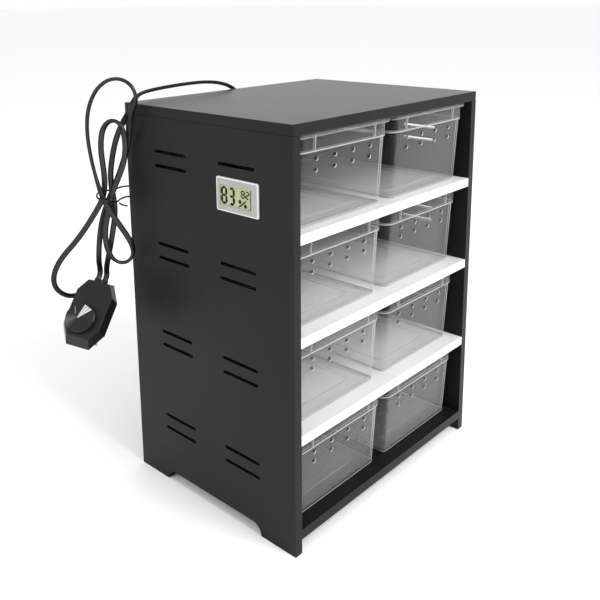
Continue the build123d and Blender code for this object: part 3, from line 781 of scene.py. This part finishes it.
dimmerPlace, dimmerRight, dimmerUp = dimmerFrame(dimmer)
hankMouth, feedMouth = dimmer["mouths"]


def mouth(x, step):
    return dimmerPlace @ at(x, dimmer["length"] / 2 + dimmer["mouthReach"] + step, dimmer["mouthLevel"])


# ---- cord: the same points as the CAD route
cord = {
    "radius": 2.6,
    "flat": 1.0,  # half of how much wider than thick it is
    "tieRadius": 0.8,
    "feedLength": 0.67,
    "hankLength": 0.78,
}
feedRoute = [
    at(62, 106, 45), at(62, 112, 45), at(61.8, 118, 46.8), at(61.5, 123.4, 51), at(61, 127.3, 57.2),
    at(60.4, 129, 66.5), at(59, 128.5, 80), at(56, 126, 104), at(51.4, 121.2, 148), at(45.5, 114, 200),
    at(40, 110, 252), at(34.5, 108, 298), at(29, 107.5, 328), at(22.5, 107, 345), at(13, 107, 357.5),
    at(1, 107, 366), at(-15, 107, 370.8), at(-34, 107, 373),
    at(-58, 107, 373), at(-82, 106, 372.2), at(-101, 103, 371.4), at(-115, 98, 370.8), at(-125.5, 92.2, 370),
    at(-132.8, 88, 368), at(-137.8, 85.6, 364), at(-140.6, 86.2, 358.5), at(-141, 90.8, 352.6), at(-140.3, 98, 346),
    beside(6.3, 2.6, 337.5), beside(10.5, 1.6, 326), beside(13.7, 1.8, 312.5), beside(15.9, 3.6, 299),
    beside(15.8, 5.3, 286), beside(13.8, 5.4, 273), beside(13.8, 5.6, 260), beside(16.4, 5.6, 246),
    beside(19.2, 3.8, 232), beside(21.8, 0.6, 220), beside(24.2, -3.4, 209.5), beside(25, -5.9, 202.5),
    mouth(feedMouth, 5), mouth(feedMouth, 0),
]
hankRoute = [
    mouth(hankMouth, 0), mouth(hankMouth, 5),
    beside(31, -8.4, 204.5), beside(31.5, -5.8, 212), beside(30.9, -3, 221.5),
    beside(29.8, -1.4, 232.5), beside(28, -0.5, 245), beside(24.8, -0.6, 258), beside(20.4, -0.8, 270),
    beside(15.3, -0.7, 281), beside(10.8, 0.6, 291), beside(5.3, 3.9, 305), beside(0.8, 6.8, 319),
    at(-139.5, 91.9, 332), at(-142.2, 85.7, 344.5), at(-143.8, 79.5, 356), beside(-10, 27.5, 366.5),
    beside(-9.6, 28.4, 375),
    beside(-5.6, 26, 382), beside(1.5, 21, 386), beside(10, 15.5, 386), beside(18, 11.8, 382),
    beside(25.4, 9.6, 374.2), beside(31.8, 8.2, 360), beside(34.2, 8, 342), beside(33, 9.2, 322),
    beside(29.8, 12, 303), beside(26.6, 15.5, 289), beside(22.7, 16.9, 277), beside(17, 17.3, 265),
    beside(9.5, 17.2, 252), beside(2.5, 16, 239.5), beside(-0.9, 14, 229.6), beside(-0.4, 12.6, 221.6),
    beside(4, 11.4, 215.8), beside(10.6, 11, 214.6), beside(16.4, 11, 217.6), beside(20.6, 11.1, 223.6),
    beside(23, 11.3, 232), beside(23.8, 11.4, 242), beside(22.5, 11.4, 253), beside(19.5, 11.3, 265),
    beside(17.4, 11.2, 275), beside(14, 11.6, 285), beside(9, 12.8, 296), beside(4, 14.8, 308.5),
    beside(1.4, 17.2, 321), beside(1.2, 18.7, 332), beside(2.6, 18.2, 341), beside(6, 16.2, 347.4),
    beside(11.6, 14.2, 349.2), beside(16.8, 12.8, 346.4), beside(20.6, 11.8, 340), beside(22.4, 10.8, 331),
    beside(22.9, 9.9, 320.5), beside(22, 8.9, 308.5), beside(21.2, 7.6, 296), beside(21.8, 6.3, 285),
    beside(24.8, 6, 274), beside(32.5, 6, 261.5), beside(42, 6, 247.5), beside(52, 6, 235),
    beside(61.8, 6, 224.8), beside(69, 6, 214.4), beside(72.7, 5.4, 204), beside(72.3, 3.8, 194.4),
    beside(68, 1, 186.6), beside(61.3, -4, 180.9),
    beside(57.2, -9.6, 178.7), beside(51.4, -13.8, 177.3), beside(45.5, -15, 176.4),
]
plug = {"start": (-11.3, 13.2, -20), "way": (0.38, -0.925), "lead": 5.5}
plugStart = dimmerPlace @ at(*plug["start"])
plugWay = (dimmerRight * plug["way"][0] + dimmerUp * plug["way"][1]).normalized()
hankRoute += [plugStart - plugWay * (plug["lead"] / 1000), plugStart]
tieRoute = [
    at(-120, 103.6, 284), at(-132, 103.9, 284.1), beside(1.5, -3.4, 284.3), beside(6, -2.6, 284.3),
    beside(11, -4.4, 282.4), beside(17.5, -5.4, 280.8), beside(24.6, -2.8, 280.9), beside(28.6, 3.5, 280.6),
    beside(29.2, 12, 280.2), beside(27.4, 19.8, 279.2), beside(20.4, 22.2, 277.4), beside(13.8, 18.4, 275.2),
    beside(10.4, 11.5, 274), beside(9, 4, 273.8), beside(5.6, -1.6, 274), beside(1.2, -4.4, 274.1),
    at(-131.5, 104.1, 274), at(-120, 103.6, 273.8),
]
tieTailRoute = [beside(9.6, 9.4, 272), beside(8, 9.6, 270.6), beside(5.4, 9.4, 269.2), beside(2.2, 8.8, 268.4)]

# how far the flat cord is turned about itself, in degrees at some of the route's points
feedTurn = {0: 0, 13: 0, 22: 20, 26: -34, 33: -42, 41: -43}
hankTurn = {0: -45, 14: -50, 17: 43, 20: 8, 26: -15, 29: -107, 31: -106, 33: -172, 36: -156, 38: -80, 44: -87,
            47: -78, 49: -171, 50: -175, 53: -118, 62: -109, 64: -95, 66: -105, 70: -165, 72: -195}


def turnAt(turns, i):
    low, high = max(k for k in turns if k <= i), min(k for k in turns if k >= i)
    return math.radians(turns[low] + (turns[high] - turns[low]) * (i - low) / max(high - low, 1))


def cordCurve(name, route, radius, finish, flat=0.0, turns=None):
    curve = bpy.data.curves.new(name, "CURVE")
    curve.dimensions = "3D"
    spline = curve.splines.new("NURBS")
    spline.points.add(len(route) - 1)
    for i, (point, place) in enumerate(zip(spline.points, route)):
        point.co = (*place, 1)
        point.tilt = turnAt(turns, i) if turns else 0
    spline.order_u = 3
    spline.use_endpoint_u = True
    curve.resolution_u = 10
    curve.bevel_depth, curve.bevel_resolution, curve.extrude = (radius - flat) / 1000, 5, flat / 1000
    curve.use_fill_caps = True
    curve.materials.append(finish)
    made = newObject(name, curve)
    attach(made, "cabinet")
    return made


feedCord = cordCurve("feed_cord", feedRoute, cord["radius"], finishes["cord_black"], cord["flat"], feedTurn)
hankCord = cordCurve("hank_cord", hankRoute, cord["radius"], finishes["cord_black"], cord["flat"], hankTurn)
tieWire = cordCurve("tie_wire", tieRoute, cord["tieRadius"], finishes["cord_black"])
tieTail = cordCurve("tie_tail", tieTailRoute, cord["tieRadius"], finishes["cord_black"])
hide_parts("cord_feed")
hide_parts("cord_hank")
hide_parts("cord_tie")
print("stage: cord")


# ---- dimmer case
def octagonRing(s, level, inset=0.0):
    frontShare, backShare = max(level, 0) / s["front"], max(-level, 0) / s["back"]
    drawnIn = s["tapers"][3] * backShare + inset
    top = s["length"] / 2 - s["tapers"][1] * frontShare - drawnIn
    bottom = s["length"] / 2 - s["tapers"][2] * frontShare - drawnIn
    side = s["width"] / 2 - s["tapers"][0] * frontShare - drawnIn
    shrink = 1 - s["shrink"] * frontShare
    cx, cy = s["corner"][0] * shrink, s["corner"][1] * shrink
    right = [(side - cx, top), (side, top - cy), (side, cy - bottom), (side - cx, -bottom)]
    return [dimmerPlace @ at(x, y, level) for x, y in right + [(-x, y) for x, y in reversed(right)]]


def dimmerCase(s, half, sign):
    groove, edge, depth = s["seam"]
    rings = [octagonRing(s, sign * groove, depth), octagonRing(s, sign * edge), octagonRing(s, sign * s[half])]
    mesh, stands = meshFromRings(half + "Case", rings[::sign]), [f"dimmer_{half}_shell"]
    return addPiece(f"dimmer_{half}_case", mesh, "cabinet", "black_plastic", stands, s["soften"], 3)


frontPiece, backPiece = dimmerCase(dimmer, "front", 1), dimmerCase(dimmer, "back", -1)
print("stage: dimmer")

# ---- meter in the left side
meter = {
    "face": (48, 28.6),
    "body": (45.6, 26.2),
    "window": (36.4, 17.0),
    "windowAt": (-1.6, -0.5),
    "bed": 1.2,
    "pane": 0.5,
    "paneGrow": -0.2,
    "gap": 0.1,
    "glass": 1.4,
    "glassGrow": 2.0,
    "sheetRadius": 0.7,
    "inkAndShadeDepth": 0.06,
    "steps": 4,
    "highlightRimStrips": (3, 4),  # the profile's strips that are painted lighter as a highlight rim
}
# outline, how much larger it is here, corner radius, level above the board
meterProfile = (
    ("body", 0.0, 1.0, -11.5), ("body", 0.0, 1.0, 0.0), ("face", 0.0, 1.6, 0.0), ("face", 0.0, 1.6, 0.8),
    ("face", -0.6, 1.4, 1.35), ("face", -2.6, 1.2, 1.5), ("window", 1.2, 0.8, 1.5), ("window", 0.0, 0.8, 1.22),
    ("window", 0.0, 0.8, 0.68), ("window", 4.0, 0.8, 0.68), ("body", -2.4, 0.8, -11.5), ("body", 0.0, 1.0, -11.5),
)
meterTurn = Matrix(((0, 0, -1, 0), (-1, 0, 0, 0), (0, 1, 0, 0), (0, 0, 0, 1)))
meterPlace = Matrix.Translation(at(-sideBoard["cabinetWidth"] / 2, *sideBoard["meterAt"])) @ meterTurn
lcdLevel = meter["bed"] - meter["pane"] - meter["gap"]


def meterRing(s, outline, grow, radius, level):
    shift = at(*s["windowAt"], 0) if outline == "window" else Vector()
    ring = roundedRing(s[outline][0] + grow, s[outline][1] + grow, radius, level, s["steps"])
    return [meterPlace @ (point + shift) for point in ring]


def meterCaseMesh(s):
    rings = [meterRing(s, *line) for line in meterProfile]
    mesh = meshFromRings("meterCase", rings, False)
    strips = range(len(rings) - 1)
    markFaces(mesh, "rim", [float(strip in s["highlightRimStrips"]) for strip in strips for _ in rings[0]])
    return mesh


def meterSheet(name, s, grow, high, thick):
    rings = [meterRing(s, "window", grow, s["sheetRadius"], level) for level in (high - thick, high)]
    return meshFromRings(name, rings)


def barOutline(x, y, length, thick, upright):
    half, nib = length / 2, thick / 2
    shape = [(-half, 0), (-half + nib, nib), (half - nib, nib), (half, 0), (half - nib, -nib), (-half + nib, -nib)]
    return [(x + (b if upright else a), y + (a if upright else b)) for a, b in shape]


# which bars of a seven-bar digit are lit: top, upper left, upper right, middle, lower left, lower right, bottom
digitBars = {"8": "1111111", "3": "1011011", "2": "1011101"}
# millimetres from the middle of the meter's face; for a digit x, y, width, height and thickness of a bar
display = {
    "digits": (("8", -15.4, -0.7, 5.2, 12.8, 2.6), ("3", -6.5, -0.7, 4.8, 12.8, 2.6),
               ("8", 6.3, 2.9, 3.5, 5.4, 1.5), ("2", 11.4, 2.9, 3.1, 5.4, 1.5)),
    "barGap": 0.25,
    "lyingBar": 0.8,  # as a share of an upright bar's thickness
    "slope": ((1.1, -7.6), (2.1, -8.4), (10.4, -2.3), (9.4, -1.5)),
    # a dark strip along the window's right edge: painted shade of the recess
    "shadeStrip": ((14.5, -8.6), (15.3, -8.6), (15.3, 7.6), (14.5, 7.6)),
    "dots": ((2.8, -3.4, 1.7), (8.9, -6.4, 1.7)),
}


def digitOutlines(s, digit, x, y, wide, tall, thick):
    left, right, high, low = x - wide / 2, x + wide / 2, y + tall / 4, y - tall / 4
    places = [(x, y + tall / 2, False), (left, high, True), (right, high, True), (x, y, False),
              (left, low, True), (right, low, True), (x, y - tall / 2, False)]
    outlines = []
    for lit, (a, b, upright) in zip(digitBars[digit], places):
        if lit == "1":
            length, across = (tall / 2, thick) if upright else (wide, thick * s["lyingBar"])
            outlines.append(barOutline(a, b, length - s["barGap"], across, upright))
    return outlines


def roundOutline(x, y, radius, count=14):
    turns = [math.tau * i / count for i in range(count)]
    return [(x + radius * math.cos(turn), y + radius * math.sin(turn)) for turn in turns]


# the figures, signs and a painted shade strip, as thin dark plates
def displayInkAndShade(s):
    outlines = [outline for digit in s["digits"] for outline in digitOutlines(s, *digit)]
    outlines += [s["slope"], s["shadeStrip"], *(roundOutline(*dot) for dot in s["dots"])]
    levels = (lcdLevel, lcdLevel + meter["inkAndShadeDepth"])
    work = bmesh.new()
    for outline in outlines:
        skinRings(work, [[meterPlace @ at(x, y, level) for x, y in outline] for level in levels])
    return closedMesh("displayInkAndShade", work)


pane = meterSheet("pane", meter, meter["paneGrow"], meter["bed"], meter["pane"])
lcd = meterSheet("lcd", meter, meter["glassGrow"], lcdLevel, meter["glass"])
smoothShade(addPiece("meter_frame", meterCaseMesh(meter), "cabinet", "bezel_grey", ["meter_case"]), 25)
addPiece("meter_pane", pane, "cabinet", "window_clear", ["meter_window"])
addPiece("meter_lcd", lcd, "cabinet", "lcd_green", ["lcd_glass"])
# the figures and the painted shade strip
addPiece("meter_figures_and_shade", displayInkAndShade(display), "cabinet", "lcd_green", material=inkAndShadeFinish)
print("stage: meter")


# ---- dial; its profile is (radius, level) from the hollow over the rim to the tip of the cone
dial = {
    "middle": (-2.8, -8.3),
    "gap": 0.6,
    "sides": 72,
    "profile": ((12.0, 3.1), (12.0, 0.0), (13.3, 0.0), (13.6, 0.3), (13.6, 3.8), (13.3, 4.6), (12.6, 5.05),
                (1.4, 7.85), (0.7, 8.0)),
    "coneFoot": 6,  # the profile's line where the cone starts
}
# out is along the pointer from the dial's middle, side across it
pointerAndStreak = {
    "angle": 68,
    "stations": (-1.6, -0.7, 0.7, 2.5, 5, 8, 11.4),
    "half": (0.5, 4.1),  # half the fan's width at the first and the last station
    "bars": ((-1, -0.4), (-0.28, 0.3), (0.42, 1)),  # each from and to, in shares of that half width
    # a thin light line beside the fan: a painted highlight streak
    "line": ((-0.5, 4.6), (1.5, 6.6), (3.2, 8.4), (4.8, 10.2)),
    "lineHalf": 0.22,
    "levels": (-0.4, 0.2),  # underside and top, from the cone's face
    "soften": 0.08,
}


def dialPoint(radius, angle, level):
    (x, y), turn = dial["middle"], math.radians(angle)
    up = dimmer["front"] + dial["gap"] + level
    return dimmerPlace @ at(x + radius * math.cos(turn), y + radius * math.sin(turn), up)


def dialMesh(s):
    angles = [360 * i / s["sides"] for i in range(s["sides"])]
    rings = [[dialPoint(radius, angle, level) for angle in angles] for radius, level in s["profile"]]
    return meshFromRings("dial", rings)


def pointerAndStreakMesh(s):
    (footRadius, footLevel), (tipRadius, tipLevel) = dial["profile"][dial["coneFoot"]], dial["profile"][-1]
    turn = math.radians(s["angle"])

    def onCone(out, side, lift):
        x, y = out * math.cos(turn) - side * math.sin(turn), out * math.sin(turn) + side * math.cos(turn)
        radius = math.hypot(x, y)
        down = (footLevel - tipLevel) * max(radius - tipRadius, 0) / (footRadius - tipRadius)
        return dialPoint(radius, math.degrees(math.atan2(y, x)), tipLevel + down + lift)

    first, last = s["stations"][0], s["stations"][-1]
    near, far = s["half"]
    fan = [(out, near + (far - near) * (out - first) / (last - first)) for out in s["stations"]]
    bars = [[(out, half * low, half * high) for out, half in fan] for low, high in s["bars"]]
    bars.append([(out, side - s["lineHalf"], side + s["lineHalf"]) for out, side in s["line"]])
    under, top = s["levels"]
    work = bmesh.new()
    for bar in bars:
        skinRings(work, [[onCone(out, low, under), onCone(out, high, under),
                          onCone(out, high, top), onCone(out, low, top)] for out, low, high in bar])
    return closedMesh("pointerAndStreak", work)


dialPiece = smoothShade(addPiece("dimmer_knob", dialMesh(dial), "dial", "dial_black", ["dimmer_dial"]), 30)
pointerAndStreakPiece = addPiece("dimmer_pointer_and_streak", pointerAndStreakMesh(pointerAndStreak), "dial", "dial_black", soften=pointerAndStreak["soften"],
                        material=pointerAndStreakFinish)
print("stage: dial")
# ---- floor, backdrop and light
studio = {
    "floor": (0.95, 0.95, 0.95),
    "reach": 60,
    "world": 1.0,
    # place, target, size, power
    "lights": {"frontLight": ((0.1, -1.5, 1.45), (0, 0, 0.18), 0.9, 34),
               "leftLight": ((-1.6, 0.6, 1.0), (-0.2, 0.1, 0.2), 0.6, 6)},
}


def studioFloor(s):
    finish = Finish("paleFloor", Base_Color=s["floor"], Roughness=0.9)
    mesh, reach = bpy.data.meshes.new("floor"), s["reach"]
    corners = [(-reach, -reach, 0), (reach, -reach, 0), (reach, reach, 0), (-reach, reach, 0)]
    mesh.from_pydata(corners, [], [(0, 1, 2, 3)])
    mesh.materials.append(finish.material)
    floor = newObject("floor", mesh)
    world = bpy.data.worlds.new("studio")
    bpy.context.scene.world = world
    world.use_nodes = True
    background = world.node_tree.nodes["Background"].inputs
    background["Color"].default_value = (1, 1, 1, 1)
    background["Strength"].default_value = s["world"]


def softLight(name, place, target, size, power):
    data = bpy.data.lights.new(name, "AREA")
    data.shape, data.size, data.energy = "SQUARE", size, power
    light = newObject(name, data)
    way = (Vector(target) - Vector(place)).normalized()
    light.matrix_world = Matrix.Translation(place) @ way.to_track_quat("-Z", "Y").to_matrix().to_4x4()


studioFloor(studio)
for name, numbers in studio["lights"].items():
    softLight(name, *numbers)
bpy.context.scene.view_settings.view_transform = "Standard"
bpy.context.scene.cycles.transparent_max_bounces = 32
print("stage: studio")
